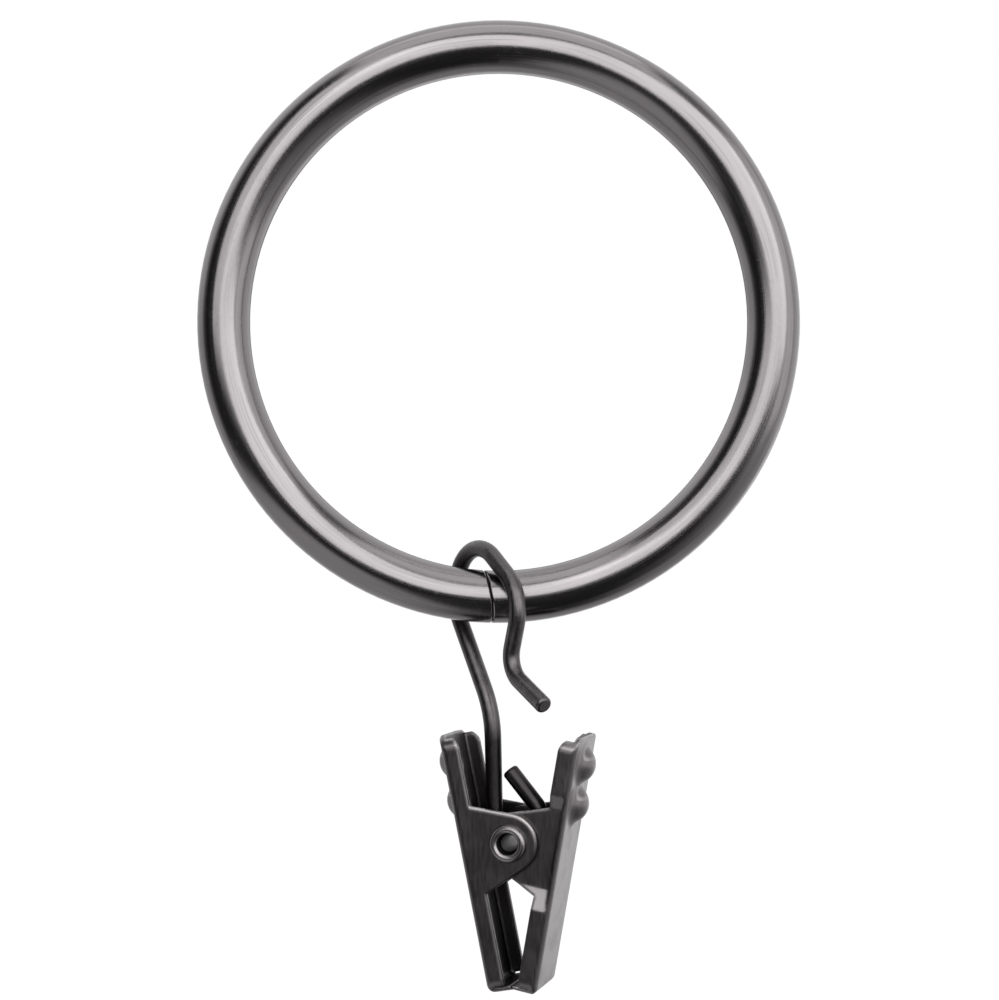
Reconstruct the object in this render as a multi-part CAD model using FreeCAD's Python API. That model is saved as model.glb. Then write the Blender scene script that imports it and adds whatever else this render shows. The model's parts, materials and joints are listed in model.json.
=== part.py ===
import FreeCAD, Part
import math
import os

Vector = FreeCAD.Vector

# Ring: a round rod bent to a circle, its ends butted
ring_inner_d = 38.0
rod_d = 4.0
seam_gap = 0.06
seam_shift = -0.85
seam_tilt = 8.0
seam_skew = 10.0
seam_round = 0.12

# Wire hook: an open hook over the rod, a slanting shank, an eye and a folded tail
wire_d = 1.28
wire_end_round = 0.25
hook_clearance = 0.65
hook_shift = -1.04
hook_turn = 56.0
hook_drop = 18.4
crown_clearance = 0.3
crown_slope = 35.0
crown_bend = 3.2
shoulder_out = 4.98
shoulder_bend = 3.2
waist_out = 3.13
waist_drop = 5.3
waist_bend = 2.0
hook_end_out = 7.9
hook_end_drop = 7.7
back_leg_drop = 1.3
back_leg_bend = 2.9
shank_bend_height = 9.6
shank_lean = 0.24
shank_bend = 7.7
eye_clearance = 0.10
eye_slack = 0.12
tail_bend_height = 2.4
tail_bend = 1.2
tail_length = 3.75
tail_angle = 40.0

# Clip: two sheet jaws that turn on the rivet, which stands across the ring at an angle
clip_shift = 1.59
clip_yaw = 17.5
clip_roll = 0.8
sheet = 0.4
inside_width = 3.9
ear_clearance = 0.05
pin_clearance = 0.04
jaw_angle = 10.85
pivot_depth = 3.99
handle_height = 8.8
jaw_drop = 10.95
bend_radius = 0.5
tip_bend_radius = 0.7
tip_gap = 0.04
flange_depth = 1.45
flange_stop = 0.05
flange_corner = 1.15
lip_slit = 0.15
ear_radius = 2.2
ear_top = 3.22
ear_bottom = 3.5
ear_round = 0.18
handle_corner = 1.2
tip_corner = 1.0

# Pressed panel that sets the right jaw's ears inward
panel_top = 3.3
panel_bottom = 2.85
panel_top_slope = 1.0
panel_bottom_slope = 1.6
panel_wall_gap = 0.45
panel_wall_slope = 0.15

# Domed grip bumps on the handles
bump_ball = 1.5
bump_height = 1.0
bump_blend = 1.0
bump_heights = (3.55, 6.6)
bump_shift = 0.35

# Hollow rivet
barrel_d = 1.9
bore_d = 1.3
head_d = 2.8
head_flare = 0.15
lip_base = 0.2

# Torsion spring on the barrel
spring_wire_d = 0.45
spring_clearance = 0.10
spring_pitch = 0.47
spring_turns = 2
spring_leg_rise = 10.0
spring_side_clearance = 0.33
spring_seat_gap = 0.06
eye_side_clearance = 0.30

# Sizes that follow
ring_radius = (ring_inner_d + rod_d) / 2
rod_to_wire = (rod_d + wire_d) / 2
eye_radius = barrel_d / 2 + eye_clearance + wire_d / 2
ear_inset = sheet + ear_clearance
clip_width = inside_width + 2 * (ear_inset + sheet)
spring_radius = barrel_d / 2 + spring_clearance + spring_wire_d / 2
spring_angle = 360.0 * spring_turns - 2 * spring_leg_rise
spring_length = spring_pitch * spring_angle / 360.0
spring_start = inside_width / 2 - spring_side_clearance - spring_wire_d / 2 - spring_length
eye_place = spring_start - spring_wire_d / 2 - eye_side_clearance - wire_d / 2
rod_bottom = Vector(0, 0, -ring_radius)
pivot = rod_bottom + Vector(clip_shift, 0, -hook_drop)
far = ring_inner_d


def box(x0, x1, y0, y1, z0, z1):
    return Part.makeBox(x1 - x0, y1 - y0, z1 - z0, Vector(x0, y0, z0))


def rounded_edges(shape, radius, wanted):
    edges = [edge for edge in shape.Edges if wanted(edge)]
    return shape.makeFillet(radius, edges).Solids[0]


def line(start, end):
    return Part.LineSegment(start, end).toShape()


def bent_wire(corners, diameter, end_round):
    """Round wire along straight runs, with a tangent arc of its own radius at each corner."""
    edges = []
    start = corners[0][0]
    for before, here, after in zip(corners, corners[1:], corners[2:]):
        corner, radius = here
        back = (before[0] - corner).normalize()
        onward = (after[0] - corner).normalize()
        half = back.getAngle(onward) / 2
        reach = radius / math.tan(half)
        arc_start = corner + back * reach
        arc_end = corner + onward * reach
        middle = corner + (back + onward).normalize() * (radius / math.sin(half) - radius)
        edges.append(line(start, arc_start))
        edges.append(Part.Arc(arc_start, middle, arc_end).toShape())
        start = arc_end
    end = corners[-1][0]
    edges.append(line(start, end))
    first = corners[0][0]
    heading = corners[1][0] - first
    section = Part.Wire(Part.Circle(first, heading, diameter / 2).toShape())
    rod = Part.Wire(edges).makePipeShell([section], True, False)
    ends = (first, end)
    return rounded_edges(rod, end_round, lambda edge: is_rim(edge, ends))


def is_rim(edge, centres):
    if edge.Degenerated or not edge.isClosed() or not isinstance(edge.Curve, Part.Circle):
        return False
    return min(edge.Curve.Center.distanceToPoint(centre) for centre in centres) < 0.001


def clip_point(x, y, z):
    """A point given about the rivet: x across the clip, y along the rivet, z up."""
    turn = FreeCAD.Rotation(Vector(0, 0, 1), -clip_yaw)
    return pivot + turn.multVec(Vector(x, y, z))


def place_clip(shape):
    shape.rotate(Vector(0, 0, 0), Vector(0, 1, 0), -clip_roll)
    shape.rotate(Vector(0, 0, 0), Vector(0, 0, 1), -clip_yaw)
    shape.translate(pivot)
    return shape


def make_ring():
    """Full ring with a fine saw cut, a little out of square, where the ends of the rod meet."""
    seam = Vector(seam_shift, 0, -ring_radius)
    cut = box(-seam_gap / 2, seam_gap / 2, -rod_d, rod_d, -rod_d, rod_d)
    cut.rotate(Vector(0, 0, 0), Vector(0, 0, 1), seam_skew)
    cut.rotate(Vector(0, 0, 0), Vector(0, 1, 0), -seam_tilt)
    cut.translate(seam)
    ring = Part.makeTorus(ring_radius, rod_d / 2, Vector(0, 0, 0), Vector(0, 1, 0)).cut(cut)
    return rounded_edges(ring, seam_round, lambda edge: edge.CenterOfMass.distanceToPoint(seam) < rod_d / 2)


def hook_point(out, height):
    """A point in the hook's plane: out from the hook's middle, height above the rod's middle."""
    turn = math.radians(hook_turn)
    middle = rod_bottom + Vector(hook_shift, 0, height)
    return middle + Vector(math.cos(turn), -math.sin(turn), 0) * out


def make_wire_hook():
    tail = math.radians(tail_angle)
    tail_out = eye_radius + eye_slack
    tail_end = (tail_out - tail_length * math.sin(tail), tail_bend_height + tail_length * math.cos(tail))
    shank_top = clip_point(-eye_radius, eye_place, shank_bend_height) - Vector(shank_lean, 0, 0)
    turn = math.radians(hook_turn)
    slope = math.radians(crown_slope)
    back_out = (rod_to_wire + hook_clearance) / math.sin(turn)
    crossing = math.hypot(math.sin(slope), math.cos(slope) * math.sin(turn))
    reach = (rod_to_wire + crown_clearance) * crossing / math.sin(turn)

    def crown_height(out):
        return (reach - out * math.sin(slope)) / math.cos(slope)

    corners = [
        (clip_point(tail_end[0], eye_place, tail_end[1]), 0),
        (clip_point(tail_out, eye_place, tail_bend_height), tail_bend),
        (clip_point(tail_out, eye_place, -eye_radius), eye_radius),
        (clip_point(-eye_radius, eye_place, -eye_radius), eye_radius),
        (shank_top, shank_bend),
        (hook_point(-back_out, -back_leg_drop), back_leg_bend),
        (hook_point(-back_out, crown_height(-back_out)), crown_bend),
        (hook_point(shoulder_out, crown_height(shoulder_out)), shoulder_bend),
        (hook_point(waist_out, -waist_drop), waist_bend),
        (hook_point(hook_end_out, -hook_end_drop), 0),
    ]
    return bent_wire(corners, wire_d, wire_end_round)


def prism(edges):
    """Straight block through the whole width of the clip, from an outline seen along the rivet."""
    face = Part.Face(Part.Wire(edges))
    block = face.extrude(Vector(0, 2 * clip_width, 0))
    block.translate(Vector(0, -clip_width, 0))
    return block


def tangent_point(point, radius, side):
    """Where a line from the point touches a circle about the rivet."""
    angle = math.atan2(point.z, point.x) + side * math.acos(radius / point.Length)
    return Vector(math.cos(angle), 0, math.sin(angle)) * radius


def ear_prism():
    flange_edge = pivot_depth - flange_depth
    top = Vector(flange_edge, 0, ear_top)
    bottom = Vector(flange_edge, 0, -ear_bottom)
    top_touch = tangent_point(top, ear_radius, 1)
    bottom_touch = tangent_point(bottom, ear_radius, -1)
    wall_top = Vector(pivot_depth, 0, ear_top)
    wall_bottom = Vector(pivot_depth, 0, -ear_bottom)
    return prism([
        line(wall_top, top),
        line(top, top_touch),
        Part.Arc(top_touch, Vector(-ear_radius, 0, 0), bottom_touch).toShape(),
        line(bottom_touch, bottom),
        line(bottom, wall_bottom),
        line(wall_bottom, wall_top),
    ])


def panel(sign, depth, spread):
    """Sloped block that sinks one ear panel, from the given depth below the clip's side."""
    side = sign * (clip_width / 2 - depth)
    floor = sign * (clip_width / 2 - depth - ear_inset)
    wall_edge = pivot_depth - panel_wall_gap + spread
    top = panel_top + spread
    bottom = -panel_bottom - spread
    mouth = [
        Vector(-far, side, bottom - panel_bottom_slope),
        Vector(wall_edge + panel_wall_slope, side, bottom - panel_bottom_slope),
        Vector(wall_edge + panel_wall_slope, side, top + panel_top_slope),
        Vector(-far, side, top + panel_top_slope),
    ]
    base = [
        Vector(-far, floor, bottom),
        Vector(wall_edge, floor, bottom),
        Vector(wall_edge, floor, top),
        Vector(-far, floor, top),
    ]
    rings = [Part.makePolygon(points + points[:1]) for points in (mouth, base)]
    return Part.makeLoft(rings, True, True)


def sheet_channel(sunk_ears):
    """Channel of bent sheet, closed at the tip by the lip, still without its side outline."""
    half = clip_width / 2
    outer = box(-far, pivot_depth, -half, half, -jaw_drop, handle_height)
    outer = rounded_edges(outer, bend_radius, lambda edge: is_upright_at(edge, pivot_depth))
    outer = rounded_edges(outer, tip_bend_radius, lambda edge: is_tip_edge(edge, pivot_depth, -jaw_drop))
    wall = pivot_depth - sheet
    floor = sheet - jaw_drop
    inner = box(-far, wall, sheet - half, half - sheet, floor, handle_height + sheet)
    inner = rounded_edges(inner, bend_radius - sheet, lambda edge: is_upright_at(edge, wall))
    inner = rounded_edges(inner, tip_bend_radius - sheet, lambda edge: is_tip_edge(edge, wall, floor))
    if sunk_ears:
        spread = sheet * math.tan(math.atan2(ear_inset, panel_wall_slope) / 2)
        for sign in (-1, 1):
            outer = outer.cut(panel(sign, 0, 0))
            inner = inner.cut(panel(sign, sheet, spread))
    return outer.cut(inner)


def is_upright_at(edge, x):
    ends = [vertex.Point for vertex in edge.Vertexes]
    return all(abs(end.x - x) < 0.001 for end in ends) and abs(ends[0].y - ends[-1].y) < 0.001


def is_tip_edge(edge, x, z):
    ends = [vertex.Point for vertex in edge.Vertexes]
    level = all(abs(end.z - z) < 0.001 for end in ends)
    return level and all(abs(end.x - x) < 0.001 for end in ends)


def side_outline(lip_length):
    """Wall, flanges, ears and lip as seen along the rivet."""
    flange_edge = pivot_depth - flange_depth
    flange_top = handle_height - flange_stop
    flange_bottom = sheet + lip_slit - jaw_drop
    wall = box(pivot_depth - sheet, pivot_depth, -clip_width, clip_width, -jaw_drop, handle_height)
    flange = box(flange_edge, pivot_depth, -clip_width, clip_width, flange_bottom, flange_top)
    flange = rounded_edges(flange, flange_corner, lambda edge: is_tip_edge(edge, flange_edge, flange_top))
    lip_top = tip_bend_radius - jaw_drop
    bend = box(pivot_depth - tip_bend_radius, pivot_depth, -clip_width, clip_width, -jaw_drop, lip_top)
    lip = box(pivot_depth - lip_length, pivot_depth, -clip_width, clip_width, -jaw_drop, sheet - jaw_drop)
    return flange.multiFuse([wall, bend, lip, ear_prism()])


def end_outline():
    """The jaw's rounded corners at the handle and at the tip, as seen from its outside."""
    half = clip_width / 2
    block = box(-far, far, -half, half, -jaw_drop, handle_height)
    for height, radius in ((handle_height, handle_corner), (-jaw_drop, tip_corner)):
        block = rounded_edges(block, radius, lambda edge: is_corner_edge(edge, height))
    return block


def is_corner_edge(edge, z):
    ends = [vertex.Point for vertex in edge.Vertexes]
    along = abs(ends[0].x - ends[-1].x) > far
    return along and all(abs(end.z - z) < 0.001 for end in ends)


def is_ear_rim(edge):
    """True for the free edges of an outer ear on its outer face, short of the flange."""
    ends = [vertex.Point for vertex in edge.Vertexes]
    if edge.Degenerated or any(abs(abs(end.y) - clip_width / 2) > 0.001 for end in ends):
        return False
    return edge.CenterOfMass.x < pivot_depth - flange_depth - ear_round / 2


def bump(shift, height):
    """Dome pressed out of the handle, with a soft foot, as a turned shape on its own axis."""
    middle = bump_height - bump_ball
    foot = math.sqrt((bump_ball + bump_blend) ** 2 - (bump_blend - middle) ** 2)
    lean = math.atan2(foot, bump_blend - middle)
    flank = math.atan2(bump_blend - middle, foot)

    def on_ball(angle):
        return Vector(middle + bump_ball * math.cos(angle), 0, bump_ball * math.sin(angle))

    def on_foot(angle):
        return Vector(bump_blend - bump_blend * math.sin(angle), 0, foot - bump_blend * math.cos(angle))

    profile = [
        Part.Arc(on_ball(0), on_ball(lean / 2), on_ball(lean)).toShape(),
        Part.Arc(on_foot(flank), on_foot((flank + math.pi / 2) / 2), on_foot(math.pi / 2)).toShape(),
        line(Vector(0, 0, foot), Vector(-sheet / 2, 0, foot)),
        line(Vector(-sheet / 2, 0, foot), Vector(-sheet / 2, 0, 0)),
        line(Vector(-sheet / 2, 0, 0), Vector(bump_height, 0, 0)),
    ]
    dome = Part.Face(Part.Wire(profile)).revolve(Vector(0, 0, 0), Vector(1, 0, 0), 360)
    dome.translate(Vector(pivot_depth, shift, height))
    return dome


def bump_hollow(shift, height):
    """The hollow behind a bump, one sheet's thickness below its crown."""
    centre = Vector(pivot_depth + bump_height - bump_ball, shift, height)
    ball = Part.makeSphere(bump_ball - sheet, centre)
    return ball.common(box(pivot_depth - sheet, far, -far, far, -far, far))


def make_jaw(sunk_ears):
    angle = math.radians(jaw_angle)
    lip_length = pivot_depth - (jaw_drop * math.sin(angle) + tip_gap / 2) / math.cos(angle)
    jaw = sheet_channel(sunk_ears).common(side_outline(lip_length)).common(end_outline()).removeSplitter()
    if not sunk_ears:
        jaw = rounded_edges(jaw, ear_round, is_ear_rim)
    shift = -bump_shift if sunk_ears else bump_shift
    for height in bump_heights:
        jaw = jaw.fuse(bump(shift, height)).cut(bump_hollow(shift, height))
    hole_radius = barrel_d / 2 + pin_clearance
    hole = Part.makeCylinder(hole_radius, 2 * clip_width, Vector(0, -clip_width, 0), Vector(0, 1, 0))
    jaw = jaw.cut(hole).removeSplitter()
    jaw.rotate(Vector(0, 0, 0), Vector(0, 1, 0), jaw_angle)
    return jaw.Solids[0]


def make_left_jaw():
    jaw = make_jaw(False)
    jaw.rotate(Vector(0, 0, 0), Vector(0, 0, 1), 180)
    return place_clip(jaw)


def make_right_jaw():
    return place_clip(make_jaw(True))


def make_rivet():
    half = clip_width / 2
    bore = bore_d / 2
    flare = bore + head_flare
    head = head_d / 2
    lip_middle = (flare + head) / 2
    lip_radius = (head - flare) / 2
    rolled = half + lip_base

    def end_profile(sign):
        return [
            Vector(bore, sign * (half - lip_base), 0),
            Vector(flare, sign * rolled, 0),
            Vector(lip_middle, sign * (rolled + lip_radius), 0),
            Vector(head, sign * rolled, 0),
            Vector(head, sign * half, 0),
            Vector(barrel_d / 2, sign * half, 0),
        ]

    edges = []
    for sign in (1, -1):
        throat, inner_lip, crown, outer_lip, brim, neck = end_profile(sign)
        edges.append(line(throat, inner_lip))
        edges.append(Part.Arc(inner_lip, crown, outer_lip).toShape())
        edges.append(line(outer_lip, brim))
        edges.append(line(brim, neck))
    edges.append(line(end_profile(1)[-1], end_profile(-1)[-1]))
    edges.append(line(end_profile(1)[0], end_profile(-1)[0]))
    face = Part.Face(Part.Wire(Part.__sortEdges__(edges)))
    return place_clip(face.revolve(Vector(0, 0, 0), Vector(0, 1, 0), 360))


def make_spring():
    """Two turns on the barrel; both ends run straight out to a handle's inside."""
    climb = spring_pitch / (2 * math.pi * spring_radius)
    lean = math.radians(jaw_angle + spring_leg_rise)
    seat = pivot_depth - sheet - spring_seat_gap - spring_wire_d / 2
    leg = (seat + spring_radius * math.sin(lean)) / math.cos(lean)
    begin = Vector(spring_radius, 0, 0)
    helix = Part.makeHelix(spring_pitch, spring_length, spring_radius)
    turned = math.radians(spring_angle)
    finish = Vector(spring_radius * math.cos(turned), spring_radius * math.sin(turned), spring_length)
    first_heading = Vector(0, -1, -climb).normalize()
    last_heading = Vector(-math.sin(turned), math.cos(turned), climb).normalize()
    leg_start = begin + first_heading * leg
    leg_end = finish + last_heading * leg
    path = Part.Wire(Part.__sortEdges__([line(leg_start, begin)] + helix.Edges + [line(finish, leg_end)]))
    section = Part.Wire(Part.Circle(leg_start, first_heading, spring_wire_d / 2).toShape())
    spring = path.makePipeShell([section], True, False)
    start_angle = math.radians(90.0 - spring_leg_rise)
    radial = Vector(math.cos(start_angle), 0, math.sin(start_angle))
    sideways = Vector(math.sin(start_angle), 0, -math.cos(start_angle))
    turn = FreeCAD.Rotation(radial, sideways, Vector(0, 1, 0), "ZXY")
    spring.Placement = FreeCAD.Placement(Vector(0, spring_start, 0), turn)
    return place_clip(spring)


pieces = {
    "ring": make_ring(),
    "wire_hook": make_wire_hook(),
    "left_jaw": make_left_jaw(),
    "right_jaw": make_right_jaw(),
    "rivet": make_rivet(),
    "spring": make_spring(),
}

os.makedirs("parts", exist_ok=True)
for name, piece in pieces.items():
    piece.exportStep("parts/" + name + ".step")
    print(name, piece.ShapeType, piece.isValid(), round(piece.Volume, 3))
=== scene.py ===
import json
import math

import bpy
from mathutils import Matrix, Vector


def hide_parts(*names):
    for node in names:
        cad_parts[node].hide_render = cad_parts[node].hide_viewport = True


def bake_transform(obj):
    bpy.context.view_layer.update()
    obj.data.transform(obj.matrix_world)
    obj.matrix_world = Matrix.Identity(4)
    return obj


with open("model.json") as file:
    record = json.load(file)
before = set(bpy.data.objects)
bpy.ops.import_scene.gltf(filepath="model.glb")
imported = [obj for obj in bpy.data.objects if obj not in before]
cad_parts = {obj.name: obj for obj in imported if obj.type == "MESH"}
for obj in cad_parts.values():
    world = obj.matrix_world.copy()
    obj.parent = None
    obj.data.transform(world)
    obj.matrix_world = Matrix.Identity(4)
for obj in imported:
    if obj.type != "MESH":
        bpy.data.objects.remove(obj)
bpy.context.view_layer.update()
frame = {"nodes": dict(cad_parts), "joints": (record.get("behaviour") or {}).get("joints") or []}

# Lengths are in metres and angles in degrees, except where a name says otherwise.
TO_MM = 1000.0
UP = (0.0, 0.0, 1.0)

# Camera. The photograph's frame is square and as wide as FRAME_WIDTH in the ring's plane.
FRAME_WIDTH = 0.07632
CAMERA_DISTANCE = 0.155
CAMERA_X = 0.00007
CAMERA_Z = -0.0136
CLIP_START = 0.001
SENSOR_WIDTH_MM = 36.0

# Ring and rivet.
RING_RADIUS = 0.021
ROD_RADIUS = 0.002
BORE_RADIUS = 0.00065
hinge = next(joint for joint in frame["joints"] if joint["name"] == "jaw_open")
PIVOT = hinge["pos_m"]
PIVOT_AXIS = hinge["axis"]

# Depth and strength of the grain's relief, width of worn edges, reach of the painted shade in hollows, and
# samples for both.
GRAIN_DEPTH = 0.00004
SPRING_GRAIN_DEPTH = 0.00003
FAINT_RELIEF, CLEAR_RELIEF = 0.10, 0.15
ROD_EDGE = 0.00010
RIVET_EDGE = 0.00012
SHEET_EDGE = 0.00034
SHADE_REACH = 0.006
EDGE_SAMPLES = 6
SHADE_SAMPLES = 4

# Colours, linear RGB.
# Painted shade, for hollows and for faces inside the clip.
PAINTED_SHADE = (0.030, 0.027, 0.028)
RING_DARK, RING_LIGHT = (0.208, 0.196, 0.200), (0.266, 0.251, 0.255)
RING_WARM = (0.255, 0.239, 0.243)
RING_WORN = (0.36, 0.35, 0.34)
WIRE_DARK, WIRE_LIGHT = (0.098, 0.092, 0.094), (0.138, 0.129, 0.133)
WIRE_RUBBED = (0.185, 0.174, 0.178)
WIRE_WORN = (0.30, 0.29, 0.28)
JAW_DARK, JAW_LIGHT = (0.152, 0.142, 0.146), (0.176, 0.165, 0.169)
JAW_DULL = (0.130, 0.121, 0.125)
# Painted highlights on the jaws' outer walls, upward slopes and ear rims, then bare edge wear with a painted
# sheen.
JAW_WALL_HIGHLIGHT = (0.262, 0.247, 0.252)
JAW_SLOPE_HIGHLIGHT = (0.310, 0.293, 0.299)
JAW_RIM_HIGHLIGHT = (0.56, 0.54, 0.54)
JAW_BARE_AND_SHEEN = (0.60, 0.58, 0.58)
RIVET_DARK, RIVET_LIGHT = (0.235, 0.221, 0.226), (0.330, 0.311, 0.318)
RIVET_WORN = (0.60, 0.58, 0.57)
# Painted shade in the rivet's bore.
RIVET_BORE_SHADE = (0.045, 0.042, 0.040)
SPRING_DARK, SPRING_LIGHT = (0.26, 0.255, 0.25), (0.36, 0.35, 0.34)
SPRING_FILM = (0.17, 0.16, 0.15)
WHITE = (1.0, 1.0, 1.0)
DIM_ROOM = (0.03, 0.03, 0.03)
FLOOR_PAINT = (0.85, 0.85, 0.85)

# Floor: a disc far below the hanging ring. FLOOR_SEEN is the share of FLOOR_GLOW in what the camera sees.
FLOOR_RADIUS = 0.6
FLOOR_PLACE = (0.0, 0.56, -0.14)
FLOOR_CORNERS = 96
FLOOR_GLOW = 1.12
FLOOR_SEEN = 0.9

# Soft lamps: angles right of and above the camera's own direction as the object sees it, size and radiance.
LAMP_DISTANCE = 0.9
LAMPS = {
    "key": {"azimuth": 20.0, "elevation": 22.0, "width": 1.15, "height": 0.80, "radiance": 2.5},
    "fill": {"azimuth": -27.0, "elevation": 25.0, "width": 0.5, "height": 0.75, "radiance": 1.6},
    "right": {"azimuth": 72.0, "elevation": 14.0, "width": 0.65, "height": 1.0, "radiance": 0.8},
    "top": {"azimuth": 5.0, "elevation": 76.0, "width": 0.95, "height": 0.75, "radiance": 1.3},
}

# Sockets of the Mix node that carry colours; its names occur once for each kind of data.
MIX_FIRST, MIX_SECOND, MIX_RESULT = 6, 7, 2


def node(tree, kind, inputs=None, **settings):
    """A new node: settings are its own properties, inputs are values or sockets by name or number."""
    made = tree.nodes.new(kind)
    for name, value in settings.items():
        setattr(made, name, value)
    for name, value in (inputs or {}).items():
        if isinstance(value, bpy.types.NodeSocket):
            tree.links.new(value, made.inputs[name])
        else:
            made.inputs[name].default_value = value
    return made


def calc(tree, operation, *values):
    return node(tree, "ShaderNodeMath", dict(enumerate(values)), operation=operation).outputs[0]


def plus(tree, first, second):
    return calc(tree, "ADD", first, second)


def times(tree, first, second):
    return calc(tree, "MULTIPLY", first, second)


def larger(tree, first, second):
    return calc(tree, "MAXIMUM", first, second)


def shared(tree, first, second, share):
    """This share of the first value and the rest of the second."""
    return plus(tree, times(tree, first, share), times(tree, second, 1.0 - share))


def vector_calc(tree, operation, *values):
    made = node(tree, "ShaderNodeVectorMath", dict(enumerate(values)), operation=operation)
    return made.outputs["Value" if operation in ("DOT_PRODUCT", "LENGTH") else "Vector"]


def dot(tree, first, second):
    return vector_calc(tree, "DOT_PRODUCT", first, second)


def length(tree, vector):
    return vector_calc(tree, "LENGTH", vector)


def scaled(tree, vector, factor):
    made = node(tree, "ShaderNodeVectorMath", {0: vector, "Scale": factor}, operation="SCALE")
    return made.outputs["Vector"]


def stretched(tree, vector, factors):
    return vector_calc(tree, "MULTIPLY", vector, factors)


def split(tree, vector):
    return node(tree, "ShaderNodeSeparateXYZ", {0: vector}).outputs


def spread(tree, value, over, gives=(0.0, 1.0)):
    """Maps the range over smoothly onto the range gives and holds its ends beyond."""
    inputs = {
        "Value": value,
        "From Min": over[0],
        "From Max": over[1],
        "To Min": gives[0],
        "To Max": gives[1],
    }
    return node(tree, "ShaderNodeMapRange", inputs, interpolation_type="SMOOTHSTEP").outputs["Result"]


def noise(tree, vector, scale=1.0, detail=3.0, roughness=0.5):
    inputs = {"Vector": vector, "Scale": scale, "Detail": detail, "Roughness": roughness}
    return node(tree, "ShaderNodeTexNoise", inputs).outputs["Fac"]


def mix_colour(tree, factor, first, second):
    made = node(tree, "ShaderNodeMix", {"Factor": factor}, data_type="RGBA")
    for socket, value in ((made.inputs[MIX_FIRST], first), (made.inputs[MIX_SECOND], second)):
        if isinstance(value, bpy.types.NodeSocket):
            tree.links.new(value, socket)
        else:
            socket.default_value = (*value, 1.0)
    return made.outputs[MIX_RESULT]


def soft_normal(tree, radius):
    """The normal with edges rounded off by this radius."""
    return node(tree, "ShaderNodeBevel", {"Radius": radius}, samples=EDGE_SAMPLES).outputs["Normal"]


def in_piece(tree, normal):
    """A normal of the scene in the piece's own axes, so that a mask stays on the piece as it turns."""
    settings = {"vector_type": "NORMAL", "convert_from": "WORLD", "convert_to": "OBJECT"}
    return node(tree, "ShaderNodeVectorTransform", {0: normal}, **settings).outputs[0]


def edge_mask(tree, radius, over=(0.02, 0.30)):
    """1 along the outer edges and 0 on open faces."""
    plain = node(tree, "ShaderNodeNewGeometry").outputs["Normal"]
    away = calc(tree, "SUBTRACT", 1.0, dot(tree, soft_normal(tree, radius), plain))
    return spread(tree, away, over)


def shade_in_hollows(tree, over, amount):
    """Painted shade: up to amount in hollows and inside corners, darker the more closed in they are."""
    inputs = {"Distance": SHADE_REACH}
    openness = node(tree, "ShaderNodeAmbientOcclusion", inputs, samples=SHADE_SAMPLES).outputs["AO"]
    return spread(tree, openness, over, gives=(amount, 0.0))


def new_material(name):
    material = bpy.data.materials.new(name)
    material.use_nodes = True
    material.node_tree.nodes.clear()
    return material, material.node_tree


def finish_metal(tree, colour, roughness, height, relief, depth=GRAIN_DEPTH, edge_radius=0.0):
    """Joins the metal's parts to the shader. An edge_radius also rounds the edges in the shading."""
    bump = node(tree, "ShaderNodeBump", {"Height": height, "Strength": relief, "Distance": depth})
    if edge_radius:
        tree.links.new(soft_normal(tree, edge_radius), bump.inputs["Normal"])
    inputs = {
        "Base Color": colour,
        "Metallic": 1.0,
        "Roughness": roughness,
        "Normal": bump.outputs["Normal"],
    }
    shader = node(tree, "ShaderNodeBsdfPrincipled", inputs)
    node(tree, "ShaderNodeOutputMaterial", {"Surface": shader.outputs["BSDF"]})


def ring_finish():
    """Black-nickel plate on drawn rod: fine draw lines run round the ring along the rod."""
    material, tree = new_material("ring_black_nickel")
    place = node(tree, "ShaderNodeTexCoord").outputs["Object"]
    x, y, z = split(tree, place)
    reach = calc(tree, "SQRT", plus(tree, times(tree, x, x), times(tree, z, z)))
    along_x = calc(tree, "DIVIDE", x, reach)
    along_z = calc(tree, "DIVIDE", z, reach)
    round_out = calc(tree, "DIVIDE", calc(tree, "SUBTRACT", reach, RING_RADIUS), ROD_RADIUS)
    round_side = calc(tree, "DIVIDE", y, ROD_RADIUS)

    def drawn(along, across, detail):
        """Noise round the ring: along sets how often it changes along the rod, across how often round it."""
        vector = node(tree, "ShaderNodeCombineXYZ", {
            "X": times(tree, along_x, along),
            "Y": times(tree, along_z, along),
            "Z": times(tree, round_out, across),
        }).outputs[0]
        inputs = {
            "Vector": vector,
            "W": times(tree, round_side, across),
            "Scale": 1.0,
            "Detail": detail,
        }
        return node(tree, "ShaderNodeTexNoise", inputs, noise_dimensions="4D").outputs["Fac"]

    fine = drawn(along=2.5, across=26.0, detail=3.0)
    broad = drawn(along=5.0, across=3.0, detail=2.0)
    specks = noise(tree, scaled(tree, place, TO_MM), scale=2.6)

    colour = mix_colour(tree, spread(tree, fine, over=(0.30, 0.70)), RING_DARK, RING_LIGHT)
    colour = mix_colour(tree, spread(tree, broad, over=(0.42, 0.68)), colour, RING_WARM)
    most_worn = 0.7
    worn = times(tree, edge_mask(tree, ROD_EDGE), most_worn)
    colour = mix_colour(tree, worn, colour, RING_WORN)

    lined = spread(tree, fine, over=(0.3, 0.7), gives=(0.18, 0.24))
    specked = spread(tree, specks, over=(0.55, 0.75), gives=(0.0, 0.05))
    height = shared(tree, fine, specks, share=0.7)
    finish_metal(tree, colour, plus(tree, lined, specked), height, FAINT_RELIEF)
    return material


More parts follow.
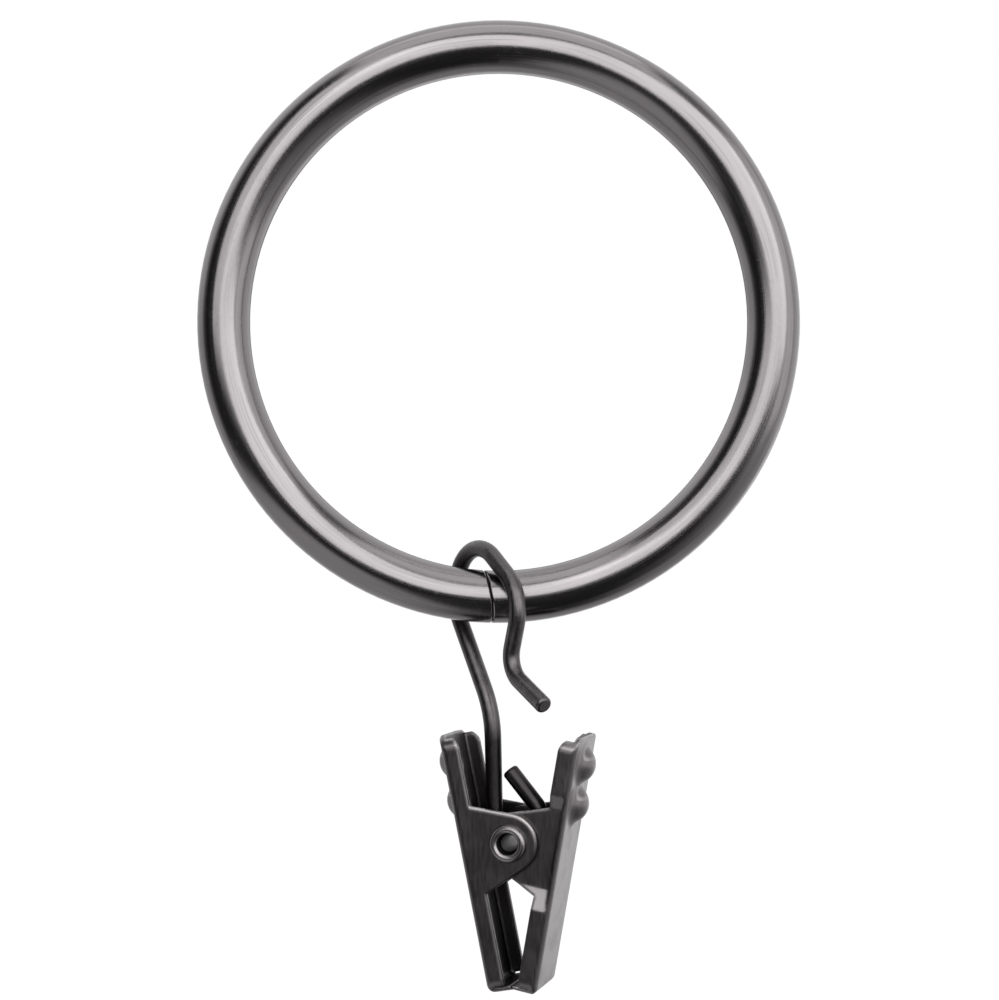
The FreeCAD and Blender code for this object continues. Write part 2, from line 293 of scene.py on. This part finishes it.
def wire_finish():
    """Dark plated wire with draw lines, thin rubbed places, and painted shade in hollows and where it hangs
    inside the clip.
    """
    material, tree = new_material("wire_black_nickel")
    place = scaled(tree, node(tree, "ShaderNodeTexCoord").outputs["Object"], TO_MM)
    height_mm = split(tree, place)[2]
    lines = noise(tree, stretched(tree, place, (9.0, 9.0, 0.9)))
    patches = noise(tree, place, scale=0.9)
    specks = noise(tree, place, scale=6.0, detail=2.0)

    colour = mix_colour(tree, spread(tree, lines, over=(0.32, 0.68)), WIRE_DARK, WIRE_LIGHT)
    rubbed = spread(tree, patches, over=(0.55, 0.72), gives=(0.0, 0.6))
    colour = mix_colour(tree, rubbed, colour, WIRE_RUBBED)
    most_worn = 0.8
    worn = times(tree, edge_mask(tree, ROD_EDGE), most_worn)
    colour = mix_colour(tree, worn, colour, WIRE_WORN)
    # Painted shade in hollows, and darker towards the bottom where the wire hangs inside the clip.
    hollow_shade = shade_in_hollows(tree, over=(0.40, 0.90), amount=0.85)
    clip_shade = spread(tree, height_mm, over=(-32.5, -29.0), gives=(0.85, 0.0))
    colour = mix_colour(tree, larger(tree, hollow_shade, clip_shade), colour, PAINTED_SHADE)

    lined = spread(tree, lines, over=(0.3, 0.7), gives=(0.30, 0.38))
    specked = spread(tree, specks, over=(0.5, 0.75), gives=(0.0, 0.06))
    height = shared(tree, lines, specks, share=0.6)
    finish_metal(tree, colour, plus(tree, lined, specked), height, CLEAR_RELIEF)
    return material


def jaw_finish():
    """Black-nickel plate on pressed sheet: rolling grain, painted highlights on walls, slopes and rims, worn
    edges, and painted shade inside.
    """
    material, tree = new_material("jaw_black_nickel")
    coordinates = node(tree, "ShaderNodeTexCoord")
    normal = coordinates.outputs["Normal"]
    place = scaled(tree, coordinates.outputs["Object"], TO_MM)
    grain = noise(tree, stretched(tree, place, (7.0, 7.0, 0.7)))
    patches = noise(tree, place, scale=0.55, roughness=0.6)
    specks = noise(tree, place, scale=5.0)

    colour = mix_colour(tree, spread(tree, grain, over=(0.30, 0.70)), JAW_DARK, JAW_LIGHT)
    dull = spread(tree, patches, over=(0.48, 0.66), gives=(0.0, 0.45))
    colour = mix_colour(tree, dull, colour, JAW_DULL)

    # Outer faces of the walls get a painted highlight. Faces turned to the other jaw get painted shade.
    across = Vector(PIVOT_AXIS).cross(Vector(UP))
    arm = vector_calc(tree, "SUBTRACT", coordinates.outputs["Object"], PIVOT)
    side = calc(tree, "SIGN", dot(tree, arm, across))
    outward = times(tree, side, dot(tree, normal, across))
    wall_highlight = spread(tree, outward, over=(0.80, 0.95), gives=(0.0, 0.8))
    colour = mix_colour(tree, wall_highlight, colour, JAW_WALL_HIGHLIGHT)
    inner_shade = spread(tree, outward, over=(-0.95, -0.60), gives=(0.60, 0.0))
    colour = mix_colour(tree, inner_shade, colour, PAINTED_SHADE)

    # Pressed slopes that look a little upward get a painted highlight, and so do the upper rims of the ears.
    tilt = dot(tree, normal, UP)
    tilted = spread(tree, tilt, over=(0.19, 0.25))
    not_level = spread(tree, tilt, over=(0.30, 0.45), gives=(0.85, 0.0))
    colour = mix_colour(tree, times(tree, tilted, not_level), colour, JAW_SLOPE_HIGHLIGHT)
    by_rivet = spread(tree, length(tree, arm), over=(0.0048, 0.0056), gives=(0.9, 0.0))
    rim_highlight = times(tree, by_rivet, spread(tree, tilt, over=(0.28, 0.50)))
    colour = mix_colour(tree, rim_highlight, colour, JAW_RIM_HIGHLIGHT)

    # Edges are worn bare, with a painted sheen that keeps them bright only where they look up, and hollows
    # get painted shade.
    soft_tilt = dot(tree, in_piece(tree, soft_normal(tree, SHEET_EDGE)), UP)
    upward_sheen = spread(tree, soft_tilt, over=(0.25, 0.50))
    uneven = spread(tree, specks, over=(0.30, 0.55), gives=(0.7, 1.0))
    bare = times(tree, edge_mask(tree, SHEET_EDGE, over=(0.006, 0.12)), uneven)
    colour = mix_colour(tree, times(tree, bare, upward_sheen), colour, JAW_BARE_AND_SHEEN)
    colour = mix_colour(tree, shade_in_hollows(tree, over=(0.25, 0.75), amount=0.92), colour, PAINTED_SHADE)

    grained = spread(tree, grain, over=(0.3, 0.7), gives=(0.28, 0.33))
    patched = spread(tree, patches, over=(0.45, 0.7), gives=(0.0, 0.06))
    height = shared(tree, grain, specks, share=0.4)
    roughness = plus(tree, grained, patched)
    finish_metal(tree, colour, roughness, height, FAINT_RELIEF, edge_radius=SHEET_EDGE)
    return material


def rivet_finish():
    """Plated rivet with rolling marks round its axis, rubbed bright on its rims, with painted shade in its
    bore.
    """
    material, tree = new_material("rivet_black_nickel")
    place = node(tree, "ShaderNodeTexCoord").outputs["Object"]
    arm = vector_calc(tree, "SUBTRACT", place, PIVOT)
    depth = dot(tree, arm, PIVOT_AXIS)
    radius = length(tree, vector_calc(tree, "CROSS_PRODUCT", arm, PIVOT_AXIS))
    marks_per_mm, marks_per_mm_deep = 14.0, 9.0
    lathe = node(tree, "ShaderNodeCombineXYZ", {
        "X": times(tree, radius, marks_per_mm * TO_MM),
        "Y": times(tree, depth, marks_per_mm_deep * TO_MM),
    }).outputs[0]
    rings = noise(tree, lathe)
    specks = noise(tree, scaled(tree, place, TO_MM), scale=5.0)

    colour = mix_colour(tree, spread(tree, rings, over=(0.32, 0.68)), RIVET_DARK, RIVET_LIGHT)
    uneven = spread(tree, specks, over=(0.30, 0.55), gives=(0.4, 1.0))
    worn = times(tree, edge_mask(tree, RIVET_EDGE), uneven)
    colour = mix_colour(tree, worn, colour, RIVET_WORN)
    # Painted shade inside the bore.
    mouth_radius = 1.35 * BORE_RADIUS
    bore_shade = spread(tree, radius, over=(BORE_RADIUS, mouth_radius), gives=(0.85, 0.0))
    colour = mix_colour(tree, bore_shade, colour, RIVET_BORE_SHADE)

    roughness = spread(tree, rings, over=(0.3, 0.7), gives=(0.26, 0.36))
    finish_metal(tree, colour, roughness, shared(tree, rings, specks, share=0.6), CLEAR_RELIEF)
    return material


def spring_finish():
    """Bright spring steel with fine draw lines and a thin dark film."""
    material, tree = new_material("spring_steel")
    place = scaled(tree, node(tree, "ShaderNodeTexCoord").outputs["Object"], TO_MM)
    lines = noise(tree, stretched(tree, place, (5.0, 16.0, 5.0)))
    film = spread(tree, noise(tree, place, scale=1.6), over=(0.5, 0.7), gives=(0.0, 0.6))
    colour = mix_colour(tree, spread(tree, lines, over=(0.32, 0.68)), SPRING_DARK, SPRING_LIGHT)
    colour = mix_colour(tree, film, colour, SPRING_FILM)
    roughness = spread(tree, lines, over=(0.3, 0.7), gives=(0.28, 0.40))
    finish_metal(tree, colour, roughness, lines, CLEAR_RELIEF, SPRING_GRAIN_DEPTH)
    return material


def dress(mesh, material):
    mesh.materials.clear()
    mesh.materials.append(material)


def twisting_spring(material):
    """The spring in its own shape, as one fixed copy that takes the place of the imported one."""
    wound = bpy.data.objects.new("torsion_spring", frame["nodes"]["spring"].data.copy())
    bpy.context.scene.collection.objects.link(wound)
    dress(wound.data, material)
    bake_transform(wound)
    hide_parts("spring")


def softbox(name, azimuth, elevation, width, height, radiance):
    """A soft lamp turned to the middle of the object."""
    a, e = math.radians(azimuth), math.radians(elevation)
    middle = Vector((0.0, 0.0, CAMERA_Z))
    outward = Vector((math.sin(a) * math.cos(e), -math.cos(a) * math.cos(e), math.sin(e)))
    lamp = bpy.data.lights.new(name, "AREA")
    lamp.shape = "RECTANGLE"
    lamp.size = width
    lamp.size_y = height
    lamp.energy = radiance * math.pi * width * height
    holder = bpy.data.objects.new(name, lamp)
    holder.location = middle + LAMP_DISTANCE * outward
    holder.rotation_euler = (-outward).to_track_quat("-Z", "Y").to_euler()
    bpy.context.scene.collection.objects.link(holder)


def mirrored_rays(tree, path):
    """1 for what the metal mirrors."""
    return larger(tree, path.outputs["Is Glossy Ray"], path.outputs["Is Transmission Ray"])


def make_world():
    """White to the camera. In the metal: a pale wall behind with a dim opening, a grey table at the lower
    left, a pale side at the right and a dim room in front."""
    world = bpy.data.worlds.new("studio")
    bpy.context.scene.world = world
    world.use_nodes = True
    tree = world.node_tree
    tree.nodes.clear()
    right, away, up = split(tree, node(tree, "ShaderNodeTexCoord").outputs["Generated"])

    paler_right = spread(tree, right, over=(-0.6, 0.5), gives=(0.65, 1.0))
    paler_above = spread(tree, up, over=(0.0, 0.5), gives=(0.65, 1.0))
    behind = spread(tree, away, over=(-0.20, 0.32))
    opening = spread(tree, away, over=(0.90, 0.98), gives=(1.0, 0.15))
    wall = times(tree, times(tree, behind, larger(tree, paler_right, paler_above)), opening)

    table_slant = 0.27
    leftward = calc(tree, "SUBTRACT", right, times(tree, away, table_slant))
    below = spread(tree, up, over=(-0.52, -0.36), gives=(0.62, 0.0))
    table = times(tree, below, spread(tree, leftward, over=(-0.15, 0.05), gives=(1.0, 0.0)))
    side = spread(tree, right, over=(0.35, 0.90), gives=(0.0, 0.45))
    room = larger(tree, larger(tree, wall, table), side)

    path = node(tree, "ShaderNodeLightPath")
    mirrored = times(tree, mirrored_rays(tree, path), room)
    white = larger(tree, path.outputs["Is Camera Ray"], mirrored)
    colour = mix_colour(tree, white, DIM_ROOM, WHITE)
    shader = node(tree, "ShaderNodeBackground", {"Color": colour, "Strength": 1.0})
    node(tree, "ShaderNodeOutputWorld", {"Surface": shader.outputs[0]})


def make_floor():
    """A pale table, white to the camera with a soft shadow. In the metal it is dim nearby and white far
    off."""
    bpy.ops.mesh.primitive_circle_add(
        vertices=FLOOR_CORNERS, radius=FLOOR_RADIUS, fill_type="NGON", location=FLOOR_PLACE
    )
    floor = bpy.context.object
    floor.name = "floor"
    material, tree = new_material("floor_white")
    right, away, _ = split(tree, node(tree, "ShaderNodeNewGeometry").outputs["Position"])

    pale_left = spread(tree, right, over=(-0.06, 0.01), gives=(0.62, 0.05))
    pale_right = spread(tree, right, over=(0.03, 0.12), gives=(0.0, 0.45))
    pale_back = spread(tree, away, over=(-0.01, 0.06), gives=(0.0, 0.55))
    near = larger(tree, plus(tree, pale_left, pale_right), pale_back)
    far_tone = spread(tree, right, over=(-0.3, 0.1), gives=(0.70, 1.10))
    far = times(tree, spread(tree, away, over=(0.06, 0.28)), far_tone)

    paint = node(tree, "ShaderNodeBsdfDiffuse", {"Color": (*FLOOR_PAINT, 1.0)}).outputs[0]
    glow = node(tree, "ShaderNodeEmission", {"Color": (*WHITE, 1.0), "Strength": FLOOR_GLOW}).outputs[0]
    mirrored = node(tree, "ShaderNodeEmission", {"Strength": larger(tree, near, far)}).outputs[0]
    path = node(tree, "ShaderNodeLightPath")
    seen = times(tree, path.outputs["Is Camera Ray"], FLOOR_SEEN)
    lit = node(tree, "ShaderNodeMixShader", {0: seen, 1: paint, 2: glow}).outputs[0]
    mixed = node(tree, "ShaderNodeMixShader", {0: mirrored_rays(tree, path), 1: lit, 2: mirrored})
    node(tree, "ShaderNodeOutputMaterial", {"Surface": mixed.outputs[0]})
    floor.data.materials.append(material)


def make_camera():
    data = bpy.data.cameras.new("camera")
    data.sensor_fit = "HORIZONTAL"
    data.sensor_width = SENSOR_WIDTH_MM
    data.lens = SENSOR_WIDTH_MM * CAMERA_DISTANCE / FRAME_WIDTH
    data.clip_start = CLIP_START
    camera = bpy.data.objects.new("camera", data)
    camera.location = (CAMERA_X, -CAMERA_DISTANCE, CAMERA_Z)
    camera.rotation_euler = (math.pi / 2, 0.0, 0.0)
    bpy.context.scene.collection.objects.link(camera)
    bpy.context.scene.camera = camera


jaw_metal = jaw_finish()
for name, metal in (
    ("ring", ring_finish()),
    ("wire_hook", wire_finish()),
    ("left_jaw", jaw_metal),
    ("right_jaw", jaw_metal),
    ("rivet", rivet_finish()),
):
    dress(frame["nodes"][name].data, metal)
twisting_spring(spring_finish())

make_world()
make_floor()
for name, lamp in LAMPS.items():
    softbox(name, **lamp)
make_camera()
bpy.context.scene.view_settings.view_transform = "Standard"
